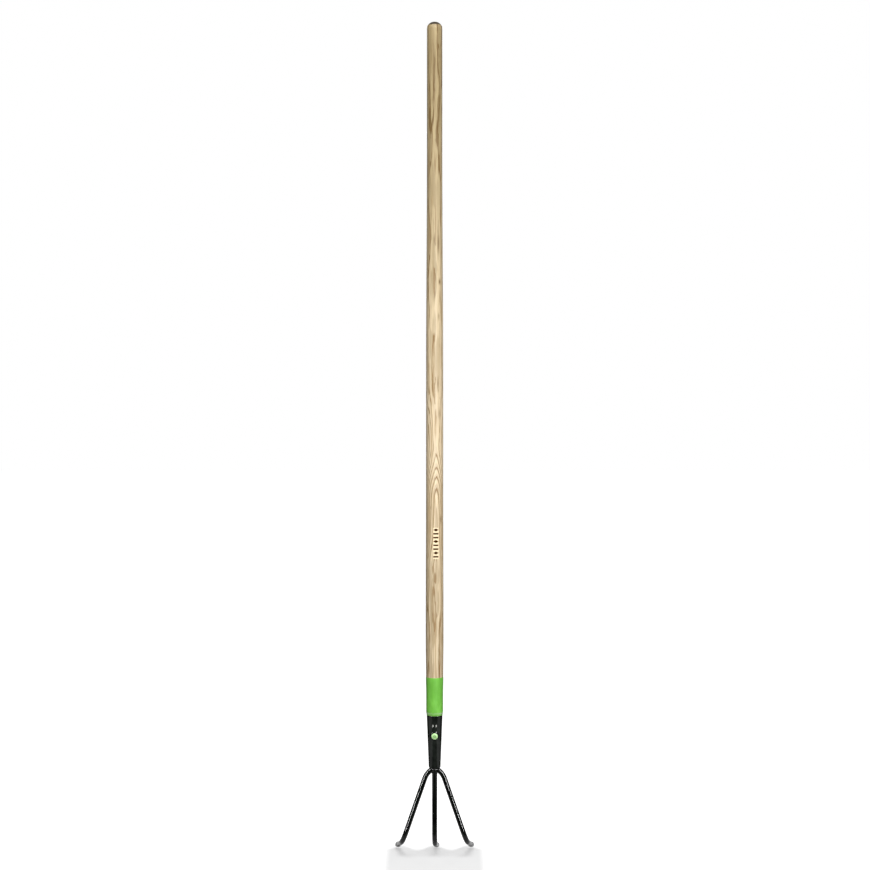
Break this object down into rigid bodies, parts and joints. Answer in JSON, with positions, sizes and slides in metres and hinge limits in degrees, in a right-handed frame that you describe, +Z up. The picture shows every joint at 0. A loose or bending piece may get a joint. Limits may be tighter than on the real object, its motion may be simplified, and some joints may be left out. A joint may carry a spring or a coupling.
{
  "type": "hand cultivator",
  "caption": "Long-handled hand cultivator: turned ash handle with a green band, tapered black steel socket with a green rivet, and hooked round-rod tines with chisel-ground points.",
  "frame": {"origin": "on the ground under the middle of the object's bounding box, where the tine points touch", "axes": "+Z up along the handle's axis, +Y the way the tine hooks curl, +X completes the right-handed frame; the side with the rivet head faces -Y"},
  "size_m": [0.1528, 0.0938, 1.5623],
  "materials": {
    "ash": "clear-lacquered ash with straight open grain and a faint cathedral figure",
    "green_sleeve": "satin green sleeve",
    "black_enamel": "semi-gloss black enamel over forged steel, ground bare on the bevels of the tine points",
    "rivet_green": "pale green enamel",
    "bare_steel": "bare steel"
  },
  "bodies": {
    "root": {"handle": "ash", "handle_band": "green_sleeve", "socket": "black_enamel", "rivet_body": "rivet_green", "rivet_mandrel": "bare_steel", "centre_tine": "black_enamel", "left_tine": "black_enamel", "right_tine": "black_enamel", "socket_weld": "black_enamel", "tine_welds": "black_enamel"}
  },
  "joints": []
}
